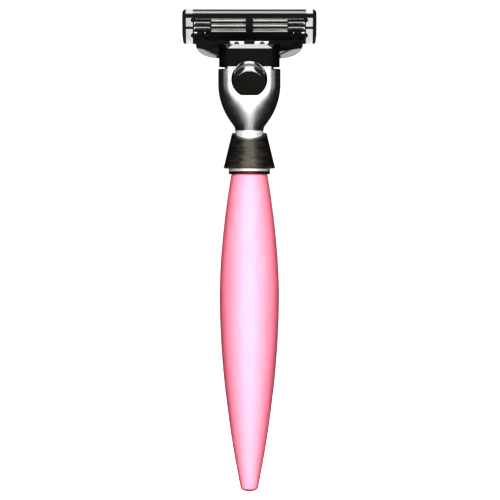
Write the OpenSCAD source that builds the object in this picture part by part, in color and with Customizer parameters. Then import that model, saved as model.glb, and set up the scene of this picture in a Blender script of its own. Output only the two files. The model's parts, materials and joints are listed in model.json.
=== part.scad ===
// Cartridge razor: turned handle, chrome neck, push-button release and a
// pivoting three-blade cartridge.
// +Z runs up the handle's axis, X is the cartridge's width, -Y is the back
// (button side) and +Y is the shaving side. The origin is the centre of the
// neck's waist, where a razor stand's fork holds it.

/* [Cartridge] */
// Full width of the cartridge
cart_w = 41.5; // [41:0.5:43]
// Lean of the cartridge's back from upright at rest, in degrees
cart_tilt = 28; // [26:1:30]
// How far the cartridge can tip back on its pivot, in degrees
cart_swing = 45; // [30:5:45]
// Height of the pivot axis above the origin
pivot_z = 29.65; // [29.4:0.05:29.9]
// Distance of the pivot axis in front of the handle's axis
pivot_y = 2.8; // [2.7:0.05:2.9]
// Distance between neighbouring blade supports
blade_pitch = 1.7; // [1.6:0.05:1.75]
// How far a blade can be pushed in
blade_travel = 0.4; // [0.2:0.05:0.4]
// Width of each metal end clip
clip_w = 2.2; // [1.8:0.1:2.4]

/* [Connector] */
// Half width of the sleeve that slips over the nose
sleeve_hw = 9.35; // [9:0.05:9.5]
// Half depth of the sleeve
sleeve_hd = 4.5; // [4.4:0.05:4.7]
// Half width across the two wings
wing_hw = 16.5; // [16.4:0.05:16.8]
// Sideways reach of each wing's round lower edge
wing_reach = 7.15; // [6.5:0.05:7.5]
// Drop of each wing's round lower edge
wing_drop = 4; // [3.8:0.1:4.3]

/* [Neck and button] */
// Half width of the neck at its widest
neck_hw = 9.58; // [9.4:0.02:9.8]
// Half depth of the neck at its top
neck_hd = 5; // [4.9:0.05:5.2]
// Height of the neck's top edge
neck_top = 19.1; // [18.9:0.1:19.3]
// Radius of the neck's waist
waist_r = 4.3; // [4.1:0.1:4.6]
// Radius of the round button
button_r = 5.6; // [5:0.1:5.7]
// Height of the button's centre
button_z = 15.8; // [15.6:0.1:16]
// Travel of the button
button_travel = 2.5; // [1.5:0.1:2.5]

/* [Handle] */
// Radius of the grip at its fattest
grip_r = 9.15; // [8.5:0.05:10]
// Height of the fattest point
grip_belly_z = -50.5; // [-56:0.5:-45]
// Height of the grip's lower tip
grip_tip_z = -111.4; // [-116:0.2:-106]
// Radius of the ferrule at its foot
ferrule_foot_r = 8; // [7.5:0.1:9]
// Radius of the ferrule at its top
ferrule_top_r = 5.35; // [5.1:0.05:5.6]
// Slope of the ferrule's seat at the back, in degrees
seat_slope = 22; // [15:1:25]
// Radius of the bright ring between ferrule and grip
collar_r = 6.4; // [6:0.1:7]

/* [Hidden] */

$fn = 64;
eps = 0.01;
gap = 0.05; // running clearance of the sliding and turning fits

// Cartridge, in its own frame: y points out of the shaving face, z towards the cap.
back_y = -1.4;
front_y = 1.6;
end_front_y = 2;
guard_z = -2.4;
guard_top_z = -0.1;
cap_z = 6.3;
top_z = 8.1;
window_hw = 17.1;
bar_back_y = -1.2;
clip_x = 17.45;
clip_t = 0.25;
clip_back_y = -1.15;
first_leg_z = 2.05;
leg_t = 0.25;
leg_back_y = -1;
leg_front_y = 1.2;
blade_lean = 26.6;
blade_hw = 16.9;
finger_x = 11.8;
finger_t = 0.5;
finger_front_y = -blade_travel - gap;
rib_hw = 1.05;
rib_front_y = -0.95;
stud_r = 0.65;

// Pivot: pins on the cartridge turn in open hooks on the connector's arms.
pin_r = 0.65;
hook_r = 1.15;
hook_x = [13.8, 16.2];
pin_x = [12.9, 17.5];
arm_lean = 15;
arm_w = 1.5;

// Cam: a round-ended lever on the cartridge presses the plunger down.
cam_r = 0.95;
cam_hw = 1.4;
cam_reach = 3.91;
cam_start = 35.1;
plunger_drop = cam_reach * (sin(cam_start + cart_swing) - sin(cam_start));

// Sleeve of the connector
sleeve_bottom = 19.8;
sleeve_top = 26.67;
cavity_top = 24.4;
nose_hw = 7.5;
nose_hd = 3.7;
nose_top = 24.2;
nose_shoulder = 12;
nose_foot = 8;
nose_wall = 0.9;
nose_lip = 0.8;
plunger_y = 0.85;
plunger_hw = 3;
plunger_hd = 1.85;
plunger_foot = 21.4;
spring_foot = 9;
ejector_y = -2;
ejector_hd = 0.6;
ejector_foot = 12.8;
ejector_top = 17.4;
arm_tip = cavity_top - button_travel - 0.1;

// Handle joint heights
seat_z = -0.6;
ferrule_foot_z = -11.6;
collar_foot_z = -13.4;
stud_hole_r = 2;
insert_r = 3.5;
insert_foot_z = -26;

// Points of an arc from angle a0 to a1 in n steps
function arc(c, r, a0, a1, n = 8) =
    [for (i = [0:n]) let (a = a0 + (a1 - a0) * i / n) [c[0] + r * cos(a), c[1] + r * sin(a)]];

// Centre of the cam's round end in the part's frame when the cartridge is tipped by a
function cam_at(a) = [pivot_y - cam_reach * cos(cam_start + a), pivot_z - cam_reach * sin(cam_start + a)];

// Rise from 0 to 1 with flat ends
function ease(t) = t <= 0 ? 0 : t >= 1 ? 1 : t * t * (3 - 2 * t);

// Half width of the neck at height z: straight at the top, then a large arc that blends into the round waist
neck_arc_r = 19.5;
neck_arc_z = 14.5;
function neck_arc(z) = neck_hw - neck_arc_r + sqrt(pow(neck_arc_r, 2) - pow(max(neck_arc_z - z, 0), 2));
function neck_half_width(z) = (waist_r + neck_arc(z) + sqrt(pow(waist_r - neck_arc(z), 2) + 0.36)) / 2;
function neck_half_depth(z) = waist_r + (neck_hd - waist_r) * sin(90 * min(z / nose_shoulder, 1));
function neck_squareness(z) = 2 + ease((z - 2) / nose_shoulder);

// Half width and half depth of the neck, drawn in over the last 0.3 mm to round the top edge
function edge_draw_in(z) = z < neck_top - 0.3 ? 0 : 0.3 - sqrt(0.09 - pow(z - neck_top + 0.3, 2));

// Closed curve between an ellipse (n = 2) and a rectangle (large n), at height z
function squircle(a, b, n, z, steps = 48) =
    [for (i = [0:steps - 1]) let (t = 360 * i / steps)
        [a * sign(cos(t)) * pow(abs(cos(t)), 2 / n), b * sign(sin(t)) * pow(abs(sin(t)), 2 / n), z]];

// Radius of the grip at height z above its rounded tip
dome_h = 1.3;
dome_z = grip_tip_z + dome_h;
function grip_upper(z) = grip_r - 3.5 * pow((z - grip_belly_z) / 36.6, 1.75);
function grip_lower(z) = grip_r - 6.4 * pow((grip_belly_z - z) / (grip_belly_z - dome_z), 1.9);
function grip_radius(z) = z > grip_belly_z ? grip_upper(z) : grip_lower(z);

// Places children in the cartridge's own frame
module in_cartridge() {
    translate([0, pivot_y, pivot_z])
        rotate([cart_tilt, 0, 0])
            children();
}

// Extrudes a (y, z) outline from x0 to x1
module along_x(x0, x1) {
    translate([x0, 0, 0])
        rotate([90, 0, 90])
            linear_extrude(x1 - x0)
                children();
}

// Extrudes an (x, z) outline from y0 to y1
module along_y(y0, y1) {
    translate([0, y1, 0])
        rotate([90, 0, 0])
            linear_extrude(y1 - y0)
                children();
}

// A box between two corners
module block(low, high) {
    translate(low)
        cube(high - low);
}

// A round bar along X
module x_rod(x0, x1, r) {
    translate([x0, 0, 0])
        rotate([0, 90, 0])
            cylinder(r = r, h = x1 - x0);
}

// Both sides of the part: children, and children mirrored across X
module both_sides() {
    children();
    mirror([1, 0, 0])
        children();
}

// Upright bar with rounded vertical edges, centred on the handle's axis
module rounded_bar(hw, hd, r, z0, z1) {
    translate([0, 0, z0])
        linear_extrude(z1 - z0) {
            square([2 * hw, 2 * (hd - r)], center = true);
            square([2 * (hw - r), 2 * hd], center = true);
            for (sx = [-1, 1], sy = [-1, 1])
                translate([sx * (hw - r), sy * (hd - r)])
                    circle(r);
        }
}

// Solid through a stack of closed curves with equal point counts
module loft(rings) {
    n = len(rings[0]);
    last = len(rings) - 1;
    polyhedron(
        points = [for (ring = rings) each ring],
        faces = [
            [for (i = [0:n - 1]) i],
            for (k = [0:last - 1], i = [0:n - 1]) let (j = (i + 1) % n)
                each [
                    [k * n + i, (k + 1) * n + i, (k + 1) * n + j],
                    [k * n + i, (k + 1) * n + j, k * n + j]
                ],
            [for (i = [n - 1:-1:0]) last * n + i]
        ]
    );
}

// Coil spring along Z: a round wire swept along a helix
module coil(r, wire_r, z0, z1, turns, sides = 6, steps = 14) {
    n = turns * steps;
    span = z1 - z0 - 2 * wire_r;
    loft([for (k = [0:n]) let (a = 360 * k / steps, zc = z0 + wire_r + span * k / n)
        [for (s = [0:sides - 1]) let (b = -360 * s / sides, q = r + wire_r * cos(b))
            [q * cos(a), q * sin(a), zc + wire_r * sin(b)]]]);
}

// Outline of the cartridge seen square on: round top corners, drawn-in lower ones
module cartridge_outline() {
    hw = cart_w / 2;
    top_r = 1.4;
    low_r = 1;
    draw_in = 0.25;
    right = concat(
        arc([hw - draw_in - low_r, guard_z + low_r], low_r, -90, -12),
        [[hw, 1]],
        arc([hw - top_r, top_z - top_r], top_r, 0, 90)
    );
    left = [for (i = [len(right) - 1:-1:0]) [-right[i][0], right[i][1]]];
    polygon(concat(right, left));
}

// Side outline of the cartridge's ends, with its edges eased
module cartridge_side(y0, y1, r = 0.35) {
    polygon(concat(
        arc([y1 - r, guard_z + r], r, -90, 0, 4),
        arc([y1 - r, top_z - r], r, 0, 90, 4),
        arc([y0 + r, top_z - r], r, 90, 180, 4),
        arc([y0 + r, guard_z + r], r, 180, 270, 4)
    ));
}

// The space that a clip and its groove take out of one end of the housing
module clip_groove() {
    difference() {
        block([clip_x, -5, -5], [clip_x + clip_w, 5, 12]);
        block([0, clip_back_y + clip_t, guard_z + clip_t + 0.05], [30, end_front_y - clip_t, top_z - clip_t]);
    }
}

// Strap of the housing that crosses over the clip at the back
module clip_bridge(z0, z1) {
    block([clip_x - 0.2, back_y, z0], [clip_x + clip_w + 0.2, clip_back_y, z1]);
}

// Half-round studs beside each clip
module clip_studs(r) {
    for (z = [0.5, 5.75])
        translate([clip_x - 0.05, 0, z])
            rotate([90, 0, 0])
                cylinder(r = r, h = 1.6, $fn = 32);
}

// One end of the housing: spring fingers, lug for the pivot pin and clip bridges
module housing_end() {
    for (i = [0:2])
        translate([0, 0, first_leg_z + blade_pitch * i])
            block([finger_x, back_y, -finger_t / 2], [window_hw + eps, finger_front_y, finger_t / 2]);
    block([pin_x[0] - 0.5, bar_back_y, guard_top_z - eps], [hook_x[0] - 0.2, 0.8, 0.6]);
    x_rod(pin_x[0] - 0.5, hook_x[0] - 0.2, 1.35);
    x_rod(pin_x[0], pin_x[1], pin_r);
    clip_bridge(6.6, top_z - 0.2);
    clip_bridge(2.83, 3.42);
    intersection() {
        clip_studs(stud_r);
        block([0, back_y - 0.1, -5], [clip_x + 1, -0.6, 10]);
    }
}

// Bar under a support's leg, between the spring fingers
module louvre() {
    hw = finger_x + 0.3;
    block([-hw, back_y, -0.65], [hw, leg_back_y, eps - finger_t / 2]);
}

// Room that the connector's hook and arm need as the cartridge tips
module hook_room() {
    x_rod(hook_x[0] - 0.2, hook_x[1] + 0.2, hook_r + gap);
    block([hook_x[0] - 0.2, -5, -5], [hook_x[1] + 0.2, 0.85, 0.85]);
}

// Lever with a round end that rests on the plunger
module cam_lever() {
    c = [-cam_reach * cos(cam_start - cart_tilt), -cam_reach * sin(cam_start - cart_tilt)];
    translate([0, c[0], c[1]])
        x_rod(-cam_hw, cam_hw, cam_r);
    along_x(-cam_hw, cam_hw)
        polygon([[c[0], c[1] + 0.9], [c[0], c[1] - 0.9], [-1, -2.3], [-1, 0.6]]);
}

// See-through notches under the guard, either side of the cam
module guard_notches() {
    both_sides()
        along_y(-10, 12)
            polygon([[1.65, 25], [4.9, 25], [6.1, 27.95], [1.65, 27.95]]);
}

module cartridge_housing() {
    color("#141416")
        difference() {
            in_cartridge()
                union() {
                    difference() {
                        intersection() {
                            along_y(back_y, end_front_y)
                                cartridge_outline();
                            along_x(-25, 25)
                                cartridge_side(back_y, end_front_y);
                        }
                        block([-window_hw, -5, guard_z - 1], [window_hw, 5, cap_z]);
                        block([-window_hw, front_y - 0.4, cap_z - 1], [window_hw, 5, top_z - 0.4]);
                        both_sides()
                            clip_groove();
                    }
                    difference() {
                        union() {
                            block([-window_hw - eps, bar_back_y, guard_z], [window_hw + eps, front_y, guard_top_z]);
                            block([-12.6, back_y, -1.2], [12.6, rib_front_y, 1.7]);
                        }
                        both_sides()
                            hook_room();
                    }
                    block([-rib_hw, back_y, 1.5], [rib_hw, rib_front_y, cap_z + eps]);
                    for (i = [1:2])
                        translate([0, 0, first_leg_z + blade_pitch * i])
                            louvre();
                    cam_lever();
                    both_sides()
                        housing_end();
                }
            guard_notches();
        }
}

// Soft guard: a thin base with fins that run along the cartridge
module guard_strip() {
    fin_pitch = 0.4;
    color("#2b3a44")
        in_cartridge() {
            block([-16.6, front_y, -2.2], [16.6, front_y + 0.15, -0.25]);
            for (i = [0:4])
                block([-16.6, front_y + 0.1, -2.2 + fin_pitch * i], [16.6, front_y + 0.55, -2.02 + fin_pitch * i]);
        }
}

// Lubricating strip: a bar with a softly crowned face, in the cap's seat
module lubricating_strip() {
    z0 = cap_z + 0.05;
    z1 = top_z - 0.4;
    seat = front_y - 0.4;
    color("#dfe7e4")
        in_cartridge()
            along_x(-16.8, 16.8)
                polygon(concat([[seat, z1], [seat, z0]], [for (i = [0:8]) let (t = i / 8)
                    [seat + 0.55 + 0.2 * sin(180 * t), z0 + (z1 - z0) * t]]));
}

// Bent metal clip around one end of the cartridge
module clip() {
    color("#d5d7da")
        in_cartridge()
            difference() {
                block([clip_x, clip_back_y, guard_z + 0.05], [clip_x + clip_w, end_front_y, top_z]);
                block(
                    [0, clip_back_y + clip_t, guard_z + clip_t + 0.05],
                    [30, end_front_y - clip_t, top_z - clip_t]
                );
                clip_studs(stud_r + gap);
            }
}

module clip_right() {
    clip();
}

module clip_left() {
    mirror([1, 0, 0])
        clip();
}

// Point on a support's lip: s along it from the bend, side -1 inside or 1 outside
function lip_point(side, s) = [
    leg_front_y + (side * cos(blade_lean) - 1) * leg_t / 2 + s * sin(blade_lean),
    side * sin(blade_lean) * leg_t / 2 - s * cos(blade_lean)
];

// Bent support: a leg that points back and a lip that carries the blade
module blade_support(i) {
    lip_l = 1.55;
    bend = leg_t / 2 * (1 - sin(blade_lean)) / cos(blade_lean);
    color("#c4c8cc")
        in_cartridge()
            translate([0, 0, first_leg_z + blade_pitch * i]) {
                along_x(-blade_hw, blade_hw)
                    polygon([
                        [0, leg_t / 2],
                        [0, -leg_t / 2],
                        lip_point(-1, bend),
                        lip_point(-1, lip_l),
                        lip_point(1, lip_l),
                        lip_point(1, -bend)
                    ]);
                translate([0, 0, -leg_t / 2])
                    linear_extrude(leg_t)
                        polygon([
                            [-finger_x + 0.1, 0.1],
                            [-finger_x + 0.1, leg_back_y],
                            [-rib_hw - 0.25, leg_back_y],
                            [-rib_hw - 0.25, leg_back_y / 2],
                            [rib_hw + 0.25, leg_back_y / 2],
                            [rib_hw + 0.25, leg_back_y],
                            [finger_x - 0.1, leg_back_y],
                            [finger_x - 0.1, 0.1]
                        ]);
            }
}

// Blade: a thin strip with a two-sided edge, lying on its support's lip
module blade(i) {
    z = first_leg_z + blade_pitch * i;
    blade_t = 0.1;
    blade_l = 1.75;
    edge_l = 0.3;
    color("#e3e6e9")
        in_cartridge()
            translate([0, leg_front_y - leg_t / 2, z])
                rotate([blade_lean, 0, 0])
                    translate([0, leg_t / 2, -0.2])
                        along_x(-blade_hw, blade_hw)
                            polygon([
                                [0, 0],
                                [0, -blade_l + edge_l],
                                [blade_t / 2, -blade_l],
                                [blade_t, -blade_l + edge_l],
                                [blade_t, 0]
                            ]);
}

// Outline of the two wings: round lower edges that meet the sleeve
module wing_outline(top) {
    base_z = sleeve_top - 0.1;
    inner_x = wing_hw - wing_reach;
    right = [for (i = [0:20]) let (t = 90 * i / 20)
        [inner_x + wing_reach * cos(t), base_z - wing_drop * sin(t)]];
    polygon(concat([[6.1, top], [wing_hw, top]], right, [[6.1, base_z - wing_drop]]));
}

// Arm with an open hook that carries the cartridge's pin
module pivot_arm() {
    translate([0, pivot_y, pivot_z])
        difference() {
            union() {
                x_rod(hook_x[0], hook_x[1], hook_r);
                rotate([-90 - arm_lean, 0, 0])
                    block([hook_x[0], hook_r - 0.4, -arm_w / 2], [hook_x[1], 3.6, arm_w / 2]);
            }
            x_rod(hook_x[0] - 1, hook_x[1] + 1, pin_r + gap);
            rotate([-40, 0, 0])
                block([0, 0, 0.2], [20, 3, 3]);
        }
}

// Sloping face that takes off the sleeve's back top edge
module back_bevel() {
    low = 25.3;
    slope = 45;
    reach = 4;
    translate([0, -sleeve_hd, low])
        rotate([slope, 0, 0])
            linear_extrude(5)
                polygon([[-6.9, 0], [6.9, 0], [9.4, reach], [-9.4, reach]]);
}

// Flat that slopes forward under the back of each wing
module wing_bevel() {
    translate([9.4, -1.6, 24.5])
        rotate([0, -8, 0])
            rotate([40, 0, 0])
                block([-6, -8, -8], [10, 0, 0]);
}

module connector() {
    color("#101012")
        difference() {
            union() {
                rounded_bar(sleeve_hw, sleeve_hd, 3, sleeve_bottom, sleeve_top);
                both_sides() {
                    difference() {
                        union() {
                            along_y(-1.6, 2.6)
                                wing_outline(sleeve_top);
                            along_y(-1.6, -0.4)
                                wing_outline(27.9);
                        }
                        wing_bevel();
                    }
                    pivot_arm();
                    translate([3.95, -1.8, sleeve_top - 0.1])
                        rotate([90, 0, 0])
                            cylinder(r = 0.93, h = 1.4);
                }
            }
            translate([0, 0, -1])
                rounded_bar(nose_hw + 0.1, nose_hd + 0.1, 1.2, sleeve_bottom, cavity_top + 1);
            block([-3.3, -1.6, 20], [3.3, 3.5, 30]);
            block([-cam_hw - 0.4, 3, 26], [cam_hw + 0.4, sleeve_hd + 1, 30]);
            back_bevel();
        }
}

// Plunger: its dished top follows the cam, its stem guides the spring
module plunger() {
    start = cam_at(0);
    middle = cam_at(cart_swing / 2)[1] + plunger_drop / 2;
    finish = cam_at(cart_swing);
    half_chord = (finish[0] - start[0]) / 2;
    sag = start[1] - middle;
    path_r = (pow(half_chord, 2) + pow(sag, 2)) / (2 * sag);
    color("#3a3d42")
        translate([0, plunger_y, 0])
            difference() {
                union() {
                    block([-plunger_hw, -plunger_hd, plunger_foot], [plunger_hw, plunger_hd, start[1] - cam_r + 0.05]);
                    block([-4.2, -plunger_hd, plunger_foot], [4.2, plunger_hd, plunger_foot + 0.9]);
                    translate([0, 0, plunger_foot - 5])
                        cylinder(r = 1.2, h = 5.1);
                }
                translate([0, start[0] + half_chord - plunger_y, middle + path_r])
                    x_rod(-5, 5, path_r + cam_r + gap);
            }
}

module plunger_spring() {
    color("#b9bdc2")
        translate([0, plunger_y, 0])
            coil(1.65, 0.2, spring_foot, plunger_foot, 9);
}

// Ejector: a plate with two arms that push the connector off the nose
module ejector() {
    color("#2c2e33")
        translate([0, ejector_y, 0])
            difference() {
                union() {
                    block([-6.4, -ejector_hd, ejector_foot], [6.4, ejector_hd, ejector_top]);
                    both_sides()
                        block([5.4, -ejector_hd, ejector_top - 1], [6.4, ejector_hd, arm_tip]);
                }
                translate([0, 0, button_z - 0.4])
                    rotate([90, 0, 0])
                        cylinder(r = 1, h = 4, center = true);
            }
}

// Button: a thick disc with a flat foot and a sloping top, on a stem
module release_button() {
    face_y = -7.5;
    back = -5.35;
    color("#17181a") {
        difference() {
            translate([0, back, button_z])
                rotate([90, 0, 0])
                    cylinder(r = button_r, h = back - face_y);
            block([-6, -9, button_z - button_r], [6, 0, button_z - button_r + 0.65]);
            translate([0, face_y, button_z + 2.4])
                rotate([-22, 0, 0])
                    block([-6, -5, 0], [6, 0, 8]);
        }
        block([-2.2, back - 0.1, 13.9], [2.2, ejector_y - ejector_hd, 17]);
        translate([0, ejector_y + ejector_hd, button_z - 0.4])
            rotate([90, 0, 0])
                cylinder(r = 1, h = 2 * ejector_hd + 0.1);
    }
}

module button_spring() {
    color("#b9bdc2")
        translate([0, ejector_y, 0])
            coil(0.5, 0.11, ejector_top, nose_top - nose_lip, 11);
}

// Nose: the hollow mount that the connector slips over
module nose() {
    stem_slot_hw = 2.4;
    color("#c9cccf")
        difference() {
            union() {
                rounded_bar(nose_hw, nose_hd, 1.2, nose_shoulder, nose_top);
                rounded_bar(4.4, 3.4, 1.2, nose_foot, nose_shoulder + eps);
            }
            block(
                [-nose_hw + nose_wall, -nose_hd + nose_wall, nose_shoulder + 0.6],
                [nose_hw - nose_wall, nose_hd - nose_wall, nose_top - nose_lip]
            );
            translate([0, plunger_y, spring_foot])
                cylinder(r = 1.95, h = nose_shoulder);
            block(
                [-plunger_hw - 0.1, plunger_y - plunger_hd - 0.1, 20],
                [plunger_hw + 0.1, plunger_y + plunger_hd + 0.1, 30]
            );
            both_sides()
                block([5.3, ejector_y - 0.7, 20], [6.5, ejector_y + 0.7, 30]);
            block([-stem_slot_hw, -6, 13.7], [stem_slot_hw, -nose_hd + nose_wall + eps, 19.7]);
        }
}

// Neck: round at the waist, broad and squarer at the top
module neck() {
    levels = [for (i = [0:15]) i * 1.2, 18.8, 18.95, 19.04, neck_top];
    color("#d8dadd")
        difference() {
            loft([for (z = levels)
                squircle(
                    neck_half_width(z) - edge_draw_in(z),
                    neck_half_depth(z) - edge_draw_in(z),
                    neck_squareness(z),
                    z
                )]);
            rounded_bar(nose_hw, nose_hd, 1.2, nose_shoulder, neck_top + 1);
            rounded_bar(4.4, 3.4, 1.2, nose_foot, nose_shoulder + 1);
            block([-2.4, -6, 13.6], [2.4, -nose_hd + 0.1, neck_top + 1]);
            translate([0, 0, -1])
                cylinder(r = stud_hole_r, h = 6.2);
        }
}

// Everything above the ferrule's seat: level in front, sloping down at the back
module above_seat() {
    block([-20, 0, seat_z], [20, 20, 20]);
    translate([0, 0, seat_z])
        rotate([seat_slope, 0, 0])
            block([-20, -20, 0], [20, 20, 20]);
}

module neck_ring() {
    color("#eceef0")
        difference() {
            intersection() {
                translate([0, 0, -4])
                    cylinder(r = waist_r + 0.03, h = 4);
                above_seat();
            }
            translate([0, 0, -5])
                cylinder(r = stud_hole_r, h = 6);
        }
}

module ferrule() {
    color("#4a4743")
        difference() {
            translate([0, 0, ferrule_foot_z])
                cylinder(r1 = ferrule_foot_r, r2 = ferrule_top_r, h = seat_z - ferrule_foot_z);
            above_seat();
            translate([0, 0, ferrule_foot_z - 1])
                cylinder(r = stud_hole_r, h = 14);
        }
}

module collar_ring() {
    ease_r = 0.3;
    color("#e6e8ea")
        rotate_extrude()
            polygon(concat(
                [[stud_hole_r, collar_foot_z]],
                arc([collar_r - ease_r, collar_foot_z + ease_r], ease_r, -90, 0, 4),
                arc([collar_r - ease_r, ferrule_foot_z - ease_r], ease_r, 0, 90, 4),
                [[stud_hole_r, ferrule_foot_z]]
            ));
}

// Grip: a turned cigar shape, belly below the middle of its upper half
module handle_grip() {
    shoulder_z = collar_foot_z - 0.6;
    steps = 40;
    color("#f0808c")
        difference() {
            rotate_extrude()
                polygon(concat(
                    [[0, collar_foot_z], [grip_radius(shoulder_z) - 0.4, collar_foot_z]],
                    [for (i = [0:steps]) let (z = shoulder_z + (dome_z - shoulder_z) * i / steps)
                        [grip_radius(z), z]],
                    [for (i = [1:10]) let (t = 90 * i / 10)
                        [grip_radius(dome_z) * cos(t), dome_z - dome_h * sin(t)]]
                ));
            translate([0, 0, insert_foot_z])
                cylinder(r = insert_r, h = 20);
        }
}

module handle_insert() {
    color("#c9a24b")
        difference() {
            translate([0, 0, insert_foot_z])
                cylinder(r = insert_r, h = collar_foot_z - insert_foot_z);
            translate([0, 0, insert_foot_z - 1])
                cylinder(r = stud_hole_r, h = 20);
        }
}

module threaded_stud() {
    stud_foot = -24;
    stud_top = 5;
    tip = 0.4;
    color("#9aa0a6")
        rotate_extrude()
            polygon([
                [0, stud_foot],
                [stud_hole_r - tip, stud_foot],
                [stud_hole_r, stud_foot + tip],
                [stud_hole_r, stud_top - tip],
                [stud_hole_r - tip, stud_top],
                [0, stud_top]
            ]);
}

cartridge_housing();
guard_strip();
lubricating_strip();
clip_left();
clip_right();
blade(0);  // blade_1
blade(1);  // blade_2
blade(2);  // blade_3
blade_support(0);  // blade_support_1
blade_support(1);  // blade_support_2
blade_support(2);  // blade_support_3
connector();
plunger();
plunger_spring();
ejector();
release_button();
button_spring();
nose();
neck();
neck_ring();
ferrule();
collar_ring();
handle_grip();
handle_insert();
threaded_stud();
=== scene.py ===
import json
import math

import bmesh
import bpy
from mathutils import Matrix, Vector

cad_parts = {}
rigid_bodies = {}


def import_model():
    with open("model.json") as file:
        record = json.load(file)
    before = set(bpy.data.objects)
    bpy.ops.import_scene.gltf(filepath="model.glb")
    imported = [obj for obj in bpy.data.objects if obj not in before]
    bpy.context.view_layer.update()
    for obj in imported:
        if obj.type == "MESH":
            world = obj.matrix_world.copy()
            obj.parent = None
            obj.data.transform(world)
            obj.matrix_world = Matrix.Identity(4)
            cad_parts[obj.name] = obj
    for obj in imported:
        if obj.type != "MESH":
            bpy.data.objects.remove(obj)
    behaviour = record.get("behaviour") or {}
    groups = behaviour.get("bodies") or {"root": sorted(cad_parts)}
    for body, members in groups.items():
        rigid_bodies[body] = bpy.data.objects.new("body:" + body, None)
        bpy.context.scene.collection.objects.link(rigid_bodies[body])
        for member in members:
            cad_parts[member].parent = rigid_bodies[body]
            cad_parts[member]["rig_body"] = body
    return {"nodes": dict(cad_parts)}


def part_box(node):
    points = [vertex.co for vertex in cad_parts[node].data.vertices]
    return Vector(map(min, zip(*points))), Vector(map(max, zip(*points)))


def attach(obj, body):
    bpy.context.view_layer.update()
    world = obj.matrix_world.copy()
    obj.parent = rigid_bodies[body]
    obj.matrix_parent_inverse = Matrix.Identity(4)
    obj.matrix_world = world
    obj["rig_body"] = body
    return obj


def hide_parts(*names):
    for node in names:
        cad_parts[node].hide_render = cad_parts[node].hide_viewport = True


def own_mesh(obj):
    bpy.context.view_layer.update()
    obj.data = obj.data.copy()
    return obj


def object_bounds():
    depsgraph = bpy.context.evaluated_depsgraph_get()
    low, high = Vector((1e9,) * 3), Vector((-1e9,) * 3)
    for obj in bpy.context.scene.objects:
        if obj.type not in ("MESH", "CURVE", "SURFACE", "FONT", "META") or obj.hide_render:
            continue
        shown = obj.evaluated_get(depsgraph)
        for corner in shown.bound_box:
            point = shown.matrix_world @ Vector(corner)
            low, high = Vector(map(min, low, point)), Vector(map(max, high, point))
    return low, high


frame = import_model()
cad_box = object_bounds()

# The frame is in metres; small sizes below are written in millimetres.
MM = 0.001

# Edges sharper than this many degrees are rounded on copied CAD nodes
EDGE_ANGLE = 32

# Sizes that the frame gives
BUTTON_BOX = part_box("release_button")
CARTRIDGE_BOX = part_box("cartridge_housing")
COLLAR_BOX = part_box("collar_ring")
EJECTOR_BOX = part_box("ejector")
FERRULE_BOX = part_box("ferrule")
GRIP_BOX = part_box("handle_grip")
NECK_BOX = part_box("neck")
NOSE_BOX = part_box("nose")

# Neck: an arc that blends into a round waist, as in the CAD source
WAIST_R = 4.3 * MM
NECK_ARC_R = 19.5 * MM
NECK_ARC_Z = 14.5 * MM
NECK_BLEND = 0.6 * MM
NECK_EDGE_R = 0.3 * MM
NECK_SHOULDER_Z = 12 * MM
NECK_ROLL_H = 2.2 * MM
NECK_ROLL_D = 0.5 * MM

# Button: centre of its round edge, and the parabola where the matte face ends
BUTTON_CENTRE_Z = 15.8 * MM
BUTTON_BACK_Y = -5.35 * MM
LIP_Z = 18.1 * MM
LIP_CURVE = 110
LIP_HW = 4.6 * MM

# Ferrule: radius at its top, and how steeply its seat slopes down at the back
FERRULE_TOP_R = 5.35 * MM
SEAT_SLOPE = math.radians(22)

# Cartridge: its lean, and the level under which the cap's top face gets a lighter, glossier black
# as a painted highlight
CARTRIDGE_TILT = math.radians(28)
CAP_LINE_Z = CARTRIDGE_BOX[1].z - 0.75 * MM
CAP_FOOT_Z = CARTRIDGE_BOX[1].z - 2 * MM

# Grip: two power curves that meet at the belly
BELLY_Z = -50.5 * MM
GRIP_DOME_H = 1.3 * MM
TOP_DRAW_IN = 3.5 * MM
TOP_REACH = 36.6 * MM
TIP_DRAW_IN = 6.4 * MM


# ---------------------------------------------------------------- mesh helpers

def add_piece(name, bm, body, replaced):
    """Turns a bmesh into a piece that rides a body and stands for a CAD node."""
    mesh = bpy.data.meshes.new(name)
    bmesh.ops.recalc_face_normals(bm, faces=bm.faces)
    bm.to_mesh(mesh)
    bm.free()
    piece = bpy.data.objects.new(name, mesh)
    bpy.context.scene.collection.objects.link(piece)
    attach(piece, body)
    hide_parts(replaced)
    return piece


def shade(piece, angle):
    """Smooth shading with edges sharper than the angle kept crisp."""
    piece.data.shade_smooth()
    piece.data.set_sharp_from_angle(angle=math.radians(angle))


def ease_edges(piece, width):
    """Rounds the piece's hard edges."""
    bevel = piece.modifiers.new("eased edges", "BEVEL")
    bevel.width = width
    bevel.segments = 2
    bevel.limit_method = "ANGLE"
    bevel.angle_limit = math.radians(EDGE_ANGLE)
    bevel.use_clamp_overlap = True
    bevel.harden_normals = True


def loft(rings):
    """Closed solid through a stack of rings with equal point counts."""
    bm = bmesh.new()
    rows = [[bm.verts.new(p) for p in ring] for ring in rings]
    for low, high in zip(rows, rows[1:]):
        for i in range(len(low)):
            j = (i + 1) % len(low)
            bm.faces.new((low[i], low[j], high[j], high[i]))
    bm.faces.new(rows[0][::-1])
    bm.faces.new(rows[-1])
    return bm


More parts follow.
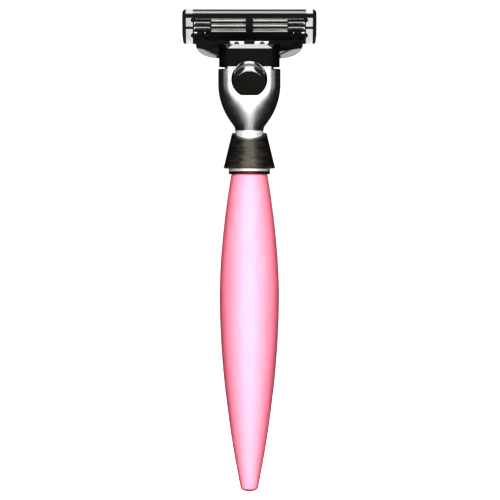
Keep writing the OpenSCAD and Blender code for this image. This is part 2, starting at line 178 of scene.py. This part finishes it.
def lathe(profile, steps=160):
    """Closed solid turned about Z from (radius, height) points that start and end on the axis."""
    bm = bmesh.new()
    rows = []
    for r, z in profile:
        if r < 1e-9:
            rows.append([bm.verts.new((0, 0, z))])
        else:
            turn = [2 * math.pi * i / steps for i in range(steps)]
            rows.append([bm.verts.new((r * math.cos(a), r * math.sin(a), z)) for a in turn])
    for low, high in zip(rows, rows[1:]):
        for i in range(steps):
            j = (i + 1) % steps
            corners = [row[k % len(row)] for row, k in ((low, i), (low, j), (high, j), (high, i))]
            bm.faces.new(list(dict.fromkeys(corners)))
    return bm


def arc(centre, radius, start, end, steps=8):
    """Points (r, z) of an arc between two angles in degrees."""
    x, y = centre
    angles = [math.radians(start + (end - start) * i / steps) for i in range(steps + 1)]
    return [(x + radius * math.cos(a), y + radius * math.sin(a)) for a in angles]


def prism(outline, z0, z1):
    """Straight solid on an (x, y) outline."""
    return loft([[(x, y, z) for x, y in outline] for z in (z0, z1)])


def rounded_rectangle(hw, hd, r, steps=6):
    """(x, y) outline of a rectangle with round corners."""
    x, y = hw - r, hd - r
    corners = [(x, y, 0), (-x, y, 90), (-x, -y, 180), (x, -y, 270)]
    return [p for x, y, a in corners for p in arc((x, y), r, a, a + 90, steps)]


def cut(piece, cutter_bm):
    """Takes a closed shape out of a piece."""
    mesh = bpy.data.meshes.new("cutter")
    bmesh.ops.recalc_face_normals(cutter_bm, faces=cutter_bm.faces)
    cutter_bm.to_mesh(mesh)
    cutter_bm.free()
    cutter = bpy.data.objects.new("cutter", mesh)
    bpy.context.scene.collection.objects.link(cutter)
    boolean = piece.modifiers.new("cut", "BOOLEAN")
    boolean.operation = "DIFFERENCE"
    boolean.solver = "EXACT"
    boolean.object = cutter
    graph = bpy.context.evaluated_depsgraph_get()
    result = bpy.data.meshes.new_from_object(piece.evaluated_get(graph))
    piece.modifiers.remove(boolean)
    piece.data = result
    bpy.data.objects.remove(cutter)


def rise(t):
    """From 0 to 1 with flat ends."""
    t = min(max(t, 0), 1)
    return t * t * (3 - 2 * t)


def eased_copy(node, width, material, level=None):
    """A piece with a CAD node's shape and softly rounded edges; faces can be parted at a level."""
    cad = frame["nodes"][node]
    bm = bmesh.new()
    bm.from_mesh(cad.data)
    bmesh.ops.remove_doubles(bm, verts=bm.verts, dist=0.0005 * MM)
    bmesh.ops.dissolve_limit(bm, angle_limit=math.radians(1), verts=bm.verts, edges=bm.edges)
    if level is not None:
        parts = bm.verts[:] + bm.edges[:] + bm.faces[:]
        bmesh.ops.bisect_plane(bm, geom=parts, plane_co=(0, 0, level), plane_no=(0, 0, 1))
    piece = add_piece(node + "_shell", bm, cad["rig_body"], node)
    shade(piece, EDGE_ANGLE)
    ease_edges(piece, width)
    dress(piece, material)
    return piece


def dress(piece, material):
    """Gives a piece one material all over."""
    piece.data.materials.clear()
    piece.data.materials.append(material)


def dress_faces(piece, material, test):
    """Gives a second material to the faces whose centre and normal pass a test."""
    piece.data.materials.append(material)
    for face in piece.data.polygons:
        if test(face.center, face.normal):
            face.material_index = 1


# ---------------------------------------------------------------- material helpers

class Nodes:
    """A material and its node tree, with short calls for the nodes used here."""

    def __init__(self, name, **values):
        self.material = bpy.data.materials.new(name)
        self.material.use_nodes = True
        self.tree = self.material.node_tree
        self.shader = self.tree.nodes["Principled BSDF"]
        for key, value in values.items():
            self.shader.inputs[key.replace("_", " ")].default_value = value

    def place(self, scale):
        """Object coordinates, scaled on each axis (per metre)."""
        where = self.tree.nodes.new("ShaderNodeTexCoord")
        mapping = self.tree.nodes.new("ShaderNodeMapping")
        mapping.inputs["Scale"].default_value = scale
        self.tree.links.new(where.outputs["Object"], mapping.inputs["Vector"])
        return mapping.outputs["Vector"]

    def noise(self, scale, detail=3.0, rough=0.5, distortion=0.0):
        """Noise in object coordinates, at a scale on each axis."""
        n = self.tree.nodes.new("ShaderNodeTexNoise")
        n.inputs["Scale"].default_value = 1.0
        n.inputs["Detail"].default_value = detail
        n.inputs["Roughness"].default_value = rough
        n.inputs["Distortion"].default_value = distortion
        self.tree.links.new(self.place(scale), n.inputs["Vector"])
        return n.outputs["Fac"]

    def spread(self, factor, low, high, start=0.3, end=0.7):
        """Maps a factor from start..end to low..high."""
        n = self.tree.nodes.new("ShaderNodeMapRange")
        n.inputs["From Min"].default_value = start
        n.inputs["From Max"].default_value = end
        n.inputs["To Min"].default_value = low
        n.inputs["To Max"].default_value = high
        self.tree.links.new(factor, n.inputs["Value"])
        return n.outputs["Result"]

    def blend(self, factor, a, b):
        """Colour between a and b."""
        n = self.tree.nodes.new("ShaderNodeMix")
        n.data_type = "RGBA"
        n.inputs["A"].default_value = (*a, 1)
        n.inputs["B"].default_value = (*b, 1)
        self.tree.links.new(factor, n.inputs["Factor"])
        return n.outputs["Result"]

    def add(self, a, b):
        """Sum of two factors."""
        n = self.tree.nodes.new("ShaderNodeMath")
        n.operation = "ADD"
        self.tree.links.new(a, n.inputs[0])
        self.tree.links.new(b, n.inputs[1])
        return n.outputs["Value"]

    def bump(self, height, strength, depth):
        """Fine relief from a height factor."""
        n = self.tree.nodes.new("ShaderNodeBump")
        n.inputs["Strength"].default_value = strength
        n.inputs["Distance"].default_value = depth
        self.tree.links.new(height, n.inputs["Height"])
        self.tree.links.new(n.outputs["Normal"], self.shader.inputs["Normal"])

    def drive(self, output, socket):
        """Links a factor or colour to one of the shader's sockets."""
        self.tree.links.new(output, self.shader.inputs[socket])


def grain(per_mm):
    """Scale for detail of the same size on all axes."""
    return (per_mm / MM,) * 3


def moulded_black(name, light, dark, low, high, specular=0.25, ior=1.5):
    """Moulded black plastic: fine grain, mottled gloss and faint flow streaks."""
    m = Nodes(name, Specular_IOR_Level=specular, IOR=ior)
    fine = m.noise(grain(7), detail=4)
    broad = m.noise((0.12 / MM, 0.5 / MM, 0.5 / MM), detail=3)
    m.drive(m.blend(m.spread(broad, 0, 1), dark, light), "Base Color")
    m.drive(m.spread(broad, low, high), "Roughness")
    m.bump(fine, 0.12, 0.01 * MM)
    return m.material


def brushed_metal(name, light, dark, low, high, scale):
    """Metal with fine lines along one axis and slow changes of tone."""
    m = Nodes(name, Metallic=1.0)
    lines = m.noise(scale, detail=4, rough=0.6)
    tone = m.noise(grain(0.35), detail=2)
    m.drive(m.blend(m.spread(m.add(lines, tone), 0, 1, 0.7, 1.3), dark, light), "Base Color")
    m.drive(m.spread(lines, low, high), "Roughness")
    m.bump(lines, 0.15, 0.01 * MM)
    return m.material


def satin_chrome():
    """Satin chrome: soft reflections, faint polishing marks and small changes of gloss."""
    m = Nodes("satin_chrome", Metallic=1.0)
    marks = m.noise((0.6 / MM, 0.6 / MM, 5 / MM), detail=5, rough=0.6)
    haze = m.noise(grain(0.3), detail=2)
    m.drive(m.blend(m.spread(haze, 0, 1), (0.80, 0.80, 0.79), (0.87, 0.87, 0.88)), "Base Color")
    m.drive(m.spread(haze, 0.21, 0.26), "Roughness")
    m.bump(marks, 0.04, 0.01 * MM)
    return m.material


def bright_metal():
    """Bright ring: satin gloss with fine turning marks, half metallic so that it stays pale."""
    m = Nodes("bright_metal", Metallic=0.5)
    turned = m.noise((0.15 / MM, 0.15 / MM, 9 / MM), detail=3)
    m.drive(m.blend(m.spread(turned, 0, 1), (0.82, 0.81, 0.79), (0.93, 0.93, 0.92)), "Base Color")
    m.drive(m.spread(turned, 0.3, 0.4), "Roughness")
    m.bump(turned, 0.06, 0.008 * MM)
    return m.material


def turned_gunmetal():
    """Dark turned metal: rings of tool marks, worn paler patches and a brown cast."""
    m = Nodes("turned_gunmetal", Metallic=0.9)
    rings = m.noise((0.08 / MM, 0.08 / MM, 3.6 / MM), detail=5, rough=0.65, distortion=0.2)
    patches = m.noise((0.3 / MM, 0.3 / MM, 1.1 / MM), detail=4, rough=0.6, distortion=0.3)
    worn = m.spread(m.add(rings, patches), 0, 1, 0.7, 1.4)
    m.drive(m.blend(worn, (0.035, 0.031, 0.028), (0.14, 0.123, 0.108)), "Base Color")
    m.drive(m.spread(patches, 0.26, 0.46), "Roughness")
    m.bump(m.add(rings, patches), 0.22, 0.02 * MM)
    return m.material


def pearl_pink():
    """Pearly plastic: lilac-white pearl under a rose-tinted coat, which reddens it at the edges."""
    m = Nodes(
        "pearl_pink", IOR=2.6, Specular_Tint=(1.0, 0.86, 1.0, 1),
        Coat_Weight=1.0, Coat_Roughness=0.3, Coat_IOR=1.1, Coat_Tint=(1.0, 0.5, 0.53, 1),
    )
    swirl = m.noise((0.25 / MM, 0.25 / MM, 0.07 / MM), detail=4, distortion=1.2)
    flake = m.noise(grain(12), detail=2)
    m.drive(m.blend(m.spread(swirl, 0, 1), (0.95, 0.7, 0.9), (0.98, 0.78, 0.96)), "Base Color")
    m.drive(m.spread(m.add(swirl, flake), 0.54, 0.64, 0.7, 1.3), "Roughness")
    m.bump(flake, 0.03, 0.005 * MM)
    return m.material


def elastomer():
    """Soft guard: matte blue-grey rubber with a fine skin."""
    m = Nodes("elastomer", Specular_IOR_Level=0.3)
    skin = m.noise(grain(9), detail=5)
    dust = m.noise(grain(0.8), detail=3)
    m.drive(m.blend(m.spread(dust, 0, 1), (0.022, 0.034, 0.045), (0.04, 0.06, 0.075)), "Base Color")
    m.drive(m.spread(skin, 0.6, 0.8), "Roughness")
    m.bump(skin, 0.3, 0.02 * MM)
    return m.material


def lubricating():
    """Lubricating strip: waxy pale strip with pores and drawn streaks."""
    m = Nodes("lubricating", Subsurface_Weight=0.15, Specular_IOR_Level=0.45)
    m.shader.inputs["Subsurface Scale"].default_value = 0.4 * MM
    pores = m.noise(grain(5), detail=5, rough=0.7)
    streaks = m.noise((0.15 / MM, 3 / MM, 3 / MM), detail=3)
    m.drive(m.blend(m.spread(streaks, 0, 1), (0.72, 0.8, 0.78), (0.86, 0.9, 0.88)), "Base Color")
    m.drive(m.spread(pores, 0.35, 0.6), "Roughness")
    m.bump(m.add(pores, streaks), 0.35, 0.02 * MM)
    return m.material


def floor_white():
    """White paper that gives off its own light, for a background as white as the photo's."""
    m = Nodes("floor_white", Roughness=0.9, Specular_IOR_Level=0.1, Emission_Strength=1.0)
    m.shader.inputs["Emission Color"].default_value = (1, 1, 1, 1)
    fibre = m.noise(grain(0.4), detail=4)
    m.drive(m.blend(fibre, (0.93, 0.93, 0.93), (0.96, 0.96, 0.96)), "Base Color")
    return m.material


# ---------------------------------------------------------------- pieces

def neck_half_width(z):
    """The neck's side: straight at the top, then an arc that blends into the waist."""
    widest = NECK_BOX[1].x
    wide = widest - NECK_ARC_R + math.sqrt(NECK_ARC_R ** 2 - max(NECK_ARC_Z - z, 0) ** 2)
    return (WAIST_R + wide + math.sqrt((WAIST_R - wide) ** 2 + NECK_BLEND ** 2)) / 2


def neck_half_depth(z):
    """The neck's back and front: a slow swell from the waist to the shoulder."""
    return WAIST_R + (NECK_BOX[1].y - WAIST_R) * math.sin(math.pi / 2 * min(z / NECK_SHOULDER_Z, 1))


def neck_ring_at(z, draw_in, steps=192):
    """Closed curve round the neck at height z."""
    power = 2 / (2 + rise((z - 2 * MM) / NECK_SHOULDER_Z))
    roll = max(1 - (NECK_BOX[1].z - z) / NECK_ROLL_H, 0)
    a = neck_half_width(z) - draw_in
    b = neck_half_depth(z) - draw_in - NECK_ROLL_D * roll ** 3
    ring = []
    for i in range(steps):
        t = 2 * math.pi * i / steps
        c, s = math.cos(t), math.sin(t)
        x = a * math.copysign(abs(c) ** power, c)
        y = b * math.copysign(abs(s) ** power, s)
        ring.append((x, y, z))
    return ring


def neck(material):
    """Neck with eased top edge, the nose's pocket and the slot for the button's stem."""
    top = NECK_BOX[1].z
    body_levels = 90
    edge_levels = 6
    rings = []
    for k in range(body_levels + 1):
        rings.append(neck_ring_at((top - NECK_EDGE_R) * k / body_levels, 0))
    for k in range(1, edge_levels + 1):
        a = math.pi / 2 * k / edge_levels
        z = top - NECK_EDGE_R * (1 - math.sin(a))
        rings.append(neck_ring_at(z, NECK_EDGE_R * (1 - math.cos(a))))
    piece = add_piece("neck_shell", loft(rings), "handle", "neck")
    nose_hw, nose_hd = NOSE_BOX[1].x, NOSE_BOX[1].y
    pocket = rounded_rectangle(nose_hw, nose_hd, 1.2 * MM)
    cut(piece, prism(pocket, NECK_SHOULDER_Z, top + 1 * MM))
    slot_hw = 2.4 * MM
    slot_foot = 13.6 * MM
    slot_back = -6 * MM
    slot_front = 0.2 * MM - nose_hd
    slot = [
        (-slot_hw, slot_back), (slot_hw, slot_back), (slot_hw, slot_front), (-slot_hw, slot_front),
    ]
    cut(piece, prism(slot, slot_foot, top + 1 * MM))
    dress(piece, material)
    shade(piece, 40)


def grip_radius(z):
    """Radius of the grip: each end draws in from the belly by a power of the distance."""
    widest = GRIP_BOX[1].x
    if z > BELLY_Z:
        return widest - TOP_DRAW_IN * ((z - BELLY_Z) / TOP_REACH) ** 1.75
    dome_z = GRIP_BOX[0].z + GRIP_DOME_H
    return widest - TIP_DRAW_IN * ((BELLY_Z - z) / (BELLY_Z - dome_z)) ** 1.9


def handle(material):
    """Turned grip with a rounded top corner and a domed tip."""
    top = GRIP_BOX[1].z
    shoulder = top - 0.6 * MM
    dome_z = GRIP_BOX[0].z + GRIP_DOME_H
    tip_r = grip_radius(dome_z)
    corner_r = 0.55 * MM
    profile = [(0, top)]
    profile += arc((grip_radius(shoulder) - corner_r, top - corner_r), corner_r, 90, 0, 8)
    levels = 150
    for k in range(1, levels + 1):
        z = shoulder + (dome_z - shoulder) * k / levels
        profile.append((grip_radius(z), z))
    for k in range(1, 12):
        a = math.pi / 2 * k / 12
        profile.append((tip_r * math.cos(a), dome_z - GRIP_DOME_H * math.sin(a)))
    profile.append((0, GRIP_BOX[0].z))
    piece = add_piece("grip_shell", lathe(profile), "handle", "handle_grip")
    piece.data.materials.append(material)
    shade(piece, 40)


def ferrule(material):
    """Turned cone with eased edges, tool grooves and a seat that slopes down at the back."""
    foot_z = FERRULE_BOX[0].z
    top_z = FERRULE_BOX[1].z
    foot_r = FERRULE_BOX[1].x
    height = top_z - foot_z
    edge = 0.45 * MM
    groove = 0.02 * MM
    levels = 90
    profile = [(0, foot_z), (foot_r - edge, foot_z)]
    profile += arc((foot_r - edge, foot_z + edge), edge, -60, 0, 4)
    for k in range(1, levels):
        t = k / levels
        z = foot_z + edge + (height - edge) * t
        tooled = groove * (0.5 + 0.5 * math.sin(2.1 * k)) * (0.4 + 0.6 * math.sin(0.37 * k) ** 2)
        profile.append((foot_r + (FERRULE_TOP_R - foot_r) * (z - foot_z) / height - tooled, z))
    profile += [(FERRULE_TOP_R - 0.1 * MM, top_z), (0, top_z)]
    piece = add_piece("ferrule_shell", lathe(profile), "handle", "ferrule")
    reach = 20 * MM
    bm = bmesh.new()
    wedge = [(0, 0), (-reach, -reach * math.tan(SEAT_SLOPE)), (-reach, reach)]
    rows = [[bm.verts.new((x, y, top_z + z)) for y, z in wedge] for x in (-reach, reach)]
    bm.faces.new(rows[0])
    bm.faces.new(rows[1][::-1])
    for i in range(3):
        j = (i + 1) % 3
        bm.faces.new((rows[0][j], rows[0][i], rows[1][i], rows[1][j]))
    cut(piece, bm)
    dress(piece, material)
    shade(piece, 30)


def collar(material, lower_material):
    """Ring between ferrule and grip: a bright upper band over a dark lower one."""
    top, foot, r = COLLAR_BOX[1].z, COLLAR_BOX[0].z, COLLAR_BOX[1].x
    mid = (top + foot) / 2
    half = (top - foot) / 2
    bulge = 0.06 * MM
    groove = 0.12 * MM
    profile = [(0, top), (r - 0.5 * MM, top)]
    levels = 16
    for k in range(levels + 1):
        t = 1 - 2 * k / levels
        seam = groove * math.exp(-(t / 0.09) ** 2)
        profile.append((r - bulge * t * t - seam, mid + half * 0.93 * t))
    profile += [(r - 0.5 * MM, foot), (0, foot)]
    piece = add_piece("collar_shell", lathe(profile), "handle", "collar_ring")
    piece.data.materials.append(material)
    dress_faces(piece, lower_material, lambda centre, normal: centre.z < mid)
    shade(piece, 40)


def lip_start(x):
    """Height at which the button's matte face gives way to its glossy lip."""
    return LIP_Z - LIP_CURVE * x * x


def button_depth(x, z, edge_distance):
    """How far the button's back face lies behind its highest plane at a point."""
    fillet = 0.3 * MM
    drop = 0.0
    if edge_distance < fillet:
        drop += fillet - math.sqrt(max(fillet ** 2 - (fillet - edge_distance) ** 2, 0))
    run = z - lip_start(x)
    if run > 0:
        drop += 0.54 * run * rise(run / (0.5 * MM))
        drop -= 0.5 * MM * rise((run - 1.7 * MM) / (0.8 * MM))
        drop += 0.25 * MM * rise((run - 2.5 * MM) / (0.6 * MM))
        drop += 60 * x * x * rise(run / (1.0 * MM))
    return drop


def button(face, lip, body_black):
    """Round button with a flat foot, a matte face and a glossy rolled top."""
    centre_z = BUTTON_CENTRE_Z
    r = BUTTON_BOX[1].x
    foot = BUTTON_BOX[0].z
    face_y = BUTTON_BOX[0].y
    deepest = BUTTON_BACK_Y - face_y - 0.1 * MM
    rounds = 40
    steps = 144
    rows = []
    bm = bmesh.new()
    middle = bm.verts.new((0, face_y + button_depth(0, centre_z, r), centre_z))
    for k in range(1, rounds + 1):
        t = 1 - (1 - k / rounds) ** 1.6
        row = []
        for i in range(steps):
            a = 2 * math.pi * i / steps
            x, z = r * math.cos(a), centre_z + r * math.sin(a)
            if z < foot:
                x, z = x * (centre_z - foot) / (centre_z - z), foot
            edge = r * (1 - t)
            px, pz = x * t, centre_z + (z - centre_z) * t
            depth = min(button_depth(px, pz, edge), deepest)
            row.append(bm.verts.new((px, face_y + depth, pz)))
        rows.append(row)
    rim = [bm.verts.new((v.co.x, BUTTON_BACK_Y, v.co.z)) for v in rows[-1]]
    rows.append(rim)
    for i in range(steps):
        j = (i + 1) % steps
        bm.faces.new((middle, rows[0][i], rows[0][j]))
    for inner, outer in zip(rows, rows[1:]):
        for i in range(steps):
            j = (i + 1) % steps
            bm.faces.new((inner[i], outer[i], outer[j], inner[j]))
    bm.faces.new(rim)
    for f in bm.faces:
        c = f.calc_center_median()
        on_lip = c.z > lip_start(c.x) and abs(c.x) < LIP_HW
        f.material_index = 1 if on_lip else 0
    piece = add_piece("button_shell", bm, "button", "release_button")
    piece.data.materials.append(face)
    piece.data.materials.append(lip)
    shade(piece, 40)
    button_stem(body_black)


def button_stem(material):
    """The stem that ties the button to the ejector through the neck's slot."""
    hw = 2.2 * MM
    back = -5.45 * MM
    front = EJECTOR_BOX[0].y
    boss_r = 1 * MM
    boss_z = 15.4 * MM
    boss_reach = EJECTOR_BOX[1].y - front + 0.05 * MM
    outline = [(-hw, back), (hw, back), (hw, front), (-hw, front)]
    bm = prism(outline, 13.9 * MM, 17 * MM)
    boss = prism(arc((0, 0), boss_r, 0, 345, 23), 0, boss_reach)
    for v in boss.verts:
        v.co = Vector((v.co.x, front + v.co.z, boss_z + v.co.y))
    mesh = bpy.data.meshes.new("boss")
    boss.to_mesh(mesh)
    boss.free()
    bm.from_mesh(mesh)
    mesh = bpy.data.meshes.new("button_stem")
    bmesh.ops.recalc_face_normals(bm, faces=bm.faces)
    bm.to_mesh(mesh)
    bm.free()
    stem = bpy.data.objects.new("button_stem", mesh)
    bpy.context.scene.collection.objects.link(stem)
    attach(stem, "button")
    dress(stem, material)
    shade(stem, 35)
    ease_edges(stem, 0.12 * MM)


def coil(name, node, wire_r, turns, material):
    """Round-wire spring on the CAD spring's axis."""
    low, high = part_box(node)
    centre = (low + high) / 2
    radius = (high.x - low.x) / 2 - wire_r
    per_turn = 28
    round_wire = 10
    steps = turns * per_turn
    span = high.z - low.z - 2 * wire_r
    rings = []
    for k in range(steps + 1):
        a = 2 * math.pi * k / per_turn
        z = low.z + wire_r + span * k / steps
        ring = []
        for s in range(round_wire):
            b = -2 * math.pi * s / round_wire
            q = radius + wire_r * math.cos(b)
            ring.append((q * math.cos(a), centre.y + q * math.sin(a), z + wire_r * math.sin(b)))
        rings.append(ring)
    body = frame["nodes"][node]["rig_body"]
    piece = add_piece(name, loft(rings), body, node)
    piece.data.materials.append(material)
    shade(piece, 60)
    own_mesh(piece)


def paint(node, material):
    """Gives a carried-over CAD node its finished material."""
    dress(frame["nodes"][node], material)


# ---------------------------------------------------------------- stage

def floor(material):
    """Seamless pale floor under the grip's tip."""
    size = 3.0
    bm = bmesh.new()
    z = cad_box[0].z
    corners = [(-size, -size, z), (size, -size, z), (size, size, z), (-size, size, z)]
    bm.faces.new([bm.verts.new(c) for c in corners])
    mesh = bpy.data.meshes.new("floor")
    bm.to_mesh(mesh)
    bm.free()
    plane = bpy.data.objects.new("floor", mesh)
    bpy.context.scene.collection.objects.link(plane)
    plane.data.materials.append(material)
    plane.visible_glossy = False
    plane.visible_diffuse = False


def softbox(name, centre, target, width, height, radiance, in_gloss=True, in_diffuse=True):
    """Rectangular light that faces a target."""
    light = bpy.data.lights.new(name, "AREA")
    light.shape = "RECTANGLE"
    light.size = width
    light.size_y = height
    light.energy = radiance * width * height * math.pi
    lamp = bpy.data.objects.new(name, light)
    bpy.context.scene.collection.objects.link(lamp)
    lamp.location = centre
    lamp.rotation_euler = (Vector(target) - Vector(centre)).to_track_quat("-Z", "Y").to_euler()
    lamp.visible_camera = False
    lamp.visible_glossy = in_gloss
    lamp.visible_diffuse = in_diffuse


def lights():
    """Each softbox: centre, target, width, height, radiance."""
    softbox("key", (0, -0.7, 0.29), (0, 0, 0.29), 0.9, 0.7, 1.8)
    softbox("wide_fill", (0, -0.72, 0.34), (0, 0, 0.34), 2.6, 0.82, 0.22)
    softbox("body_fill", (0, -0.8, 0.0), (0, 0, -0.03), 0.4, 0.6, 15, in_gloss=False)
    softbox("overhead", (0, -0.12, 0.55), (0, 0, 0.02), 0.6, 0.5, 4, in_diffuse=False)
    softbox("overhead_fill", (0, -0.12, 0.6), (0, 0, 0.02), 0.6, 0.5, 1.5, in_gloss=False)
    softbox("bounce", (0, -0.075, -0.105), (0, 0, 0.03), 0.14, 0.15, 2.4, in_diffuse=False)
    softbox("rear_high", (0, 0.6, 0.85), (0, 0, -0.03), 0.8, 0.4, 2.6)
    softbox("front_fill", (0, 0.85, 0.1), (0, 0, 0.0), 0.8, 0.9, 2.5, in_gloss=False)
    softbox("rear_low", (0, 0.5, -0.3), (0, 0, 0.0), 0.6, 0.2, 0.8)


def world():
    """White to the camera, dark grey to everything else, as in a tent with black cards."""
    surroundings = bpy.data.worlds.new("studio")
    surroundings.use_nodes = True
    tree = surroundings.node_tree
    shown = tree.nodes["Background"]
    lit = tree.nodes.new("ShaderNodeBackground")
    path = tree.nodes.new("ShaderNodeLightPath")
    mix = tree.nodes.new("ShaderNodeMixShader")
    shown.inputs["Color"].default_value = (1, 1, 1, 1)
    lit.inputs["Color"].default_value = (0.012, 0.012, 0.012, 1)
    tree.links.new(path.outputs["Is Camera Ray"], mix.inputs["Fac"])
    tree.links.new(lit.outputs["Background"], mix.inputs[1])
    tree.links.new(shown.outputs["Background"], mix.inputs[2])
    tree.links.new(mix.outputs["Shader"], tree.nodes["World Output"].inputs["Surface"])
    bpy.context.scene.world = surroundings


def camera():
    """Long lens, level, looking along +Y at the razor's back."""
    span = 154.5 * MM
    lens = 300
    sensor = 36
    data = bpy.data.cameras.new("camera")
    data.lens = lens
    data.sensor_width = sensor
    data.clip_start = 0.01
    data.clip_end = 20
    eye = bpy.data.objects.new("camera", data)
    bpy.context.scene.collection.objects.link(eye)
    eye.location = (0.2 * MM, -span * lens / sensor, -36.8 * MM)
    eye.rotation_euler = (math.pi / 2, 0, 0)
    bpy.context.scene.camera = eye


# ---------------------------------------------------------------- the razor

def is_cap_edge(centre, normal):
    """The lower part of the cartridge's leaning top face, given the lighter, glossier black of a
    painted highlight.
    """
    up = Vector((0, -math.sin(CARTRIDGE_TILT), math.cos(CARTRIDGE_TILT)))
    return normal.dot(up) > 0.97 and CAP_FOOT_Z < centre.z < CAP_LINE_Z


def is_connector_bevel(centre, normal):
    """The sleeve's top back bevel and the flats under the wings, which face the lamps and get the
    painted-highlight black.
    """
    top_bevel = normal.dot(Vector((0, -1, 1)).normalized()) > 0.97
    wing_flat = normal.y < -0.6 and normal.z < -0.5
    return top_bevel or wing_flat


black = moulded_black(
    "cartridge_black", (0.006, 0.006, 0.007), (0.003, 0.003, 0.003), 0.3, 0.42, specular=0.08
)
sleeve_black = moulded_black(
    "sleeve_black", (0.005, 0.005, 0.005), (0.002, 0.002, 0.002), 0.28, 0.4, specular=0.05
)
inner_black = moulded_black(
    "inner_black", (0.02, 0.02, 0.022), (0.012, 0.012, 0.013), 0.4, 0.55
)
button_face = moulded_black(
    "button_face", (0.007, 0.007, 0.0055), (0.004, 0.004, 0.003), 0.5, 0.62, specular=0.05
)
# A lighter, glossier copy of the black plastic, put only on faces that face the lamps: a painted
# highlight.
painted_highlight = moulded_black(
    "painted_highlight_black", (0.02, 0.02, 0.02), (0.012, 0.012, 0.012), 0.16, 0.24, specular=0.8, ior=1.9
)
button_gloss = moulded_black(
    "button_gloss", (0.02, 0.02, 0.022), (0.01, 0.01, 0.011), 0.1, 0.18, specular=1.0, ior=1.9
)
steel = brushed_metal(
    "support_steel", (0.74, 0.73, 0.7), (0.54, 0.53, 0.5), 0.25, 0.38, (0.2 / MM, 6 / MM, 6 / MM)
)
blade_metal = brushed_metal(
    "blade_steel", (0.82, 0.84, 0.87), (0.62, 0.64, 0.68), 0.15, 0.28, (5 / MM, 0.6 / MM, 0.6 / MM)
)
clip_metal = brushed_metal(
    "clip_aluminium", (0.38, 0.375, 0.37), (0.23, 0.225, 0.22), 0.2, 0.34,
    (6 / MM, 0.4 / MM, 0.4 / MM),
)
wire = brushed_metal("spring_wire", (0.6, 0.61, 0.63), (0.42, 0.43, 0.45), 0.2, 0.35, grain(3))
nose_metal = brushed_metal(
    "nose_metal", (0.82, 0.82, 0.81), (0.62, 0.62, 0.61), 0.25, 0.4, (0.3 / MM, 0.3 / MM, 5 / MM)
)
brass = brushed_metal(
    "insert_brass", (0.8, 0.58, 0.25), (0.6, 0.4, 0.15), 0.25, 0.4, (0.2 / MM, 0.2 / MM, 5 / MM)
)
stud_metal = brushed_metal(
    "stud_steel", (0.5, 0.52, 0.55), (0.36, 0.38, 0.4), 0.25, 0.4, (0.2 / MM, 0.2 / MM, 4 / MM)
)
bright = bright_metal()

neck(satin_chrome())
handle(pearl_pink())
gunmetal = turned_gunmetal()
ferrule(gunmetal)
collar(bright, gunmetal)
button(button_face, button_gloss, inner_black)
coil(
    "plunger_coil", "plunger_spring", 0.2 * MM, 9,
    wire,
)
coil(
    "button_coil", "button_spring", 0.11 * MM, 11,
    wire,
)
# The cap's top face is parted at CAP_LINE_Z so that only its lower band gets the painted-highlight
# black.
housing = eased_copy("cartridge_housing", 0.07 * MM, black, CAP_LINE_Z)
dress_faces(housing, painted_highlight, is_cap_edge)
# The connector's bevel and wing flats get the painted-highlight black.
connector = eased_copy("connector", 0.1 * MM, sleeve_black)
dress_faces(connector, painted_highlight, is_connector_bevel)
eased_copy("nose", 0.08 * MM, nose_metal)
for clip in ("clip_left", "clip_right"):
    eased_copy(clip, 0.06 * MM, clip_metal)
for inner in ("plunger", "ejector"):
    eased_copy(inner, 0.1 * MM, inner_black)
paint("neck_ring", bright)
paint("handle_insert", brass)
paint("threaded_stud", stud_metal)
paint("guard_strip", elastomer())
paint("lubricating_strip", lubricating())
for blade_number in (1, 2, 3):
    paint(f"blade_{blade_number}", blade_metal)
    paint(f"blade_support_{blade_number}", steel)

floor(floor_white())
lights()
world()
camera()
bpy.context.scene.view_settings.view_transform = "Standard"
bpy.context.scene.view_settings.look = "Medium High Contrast"
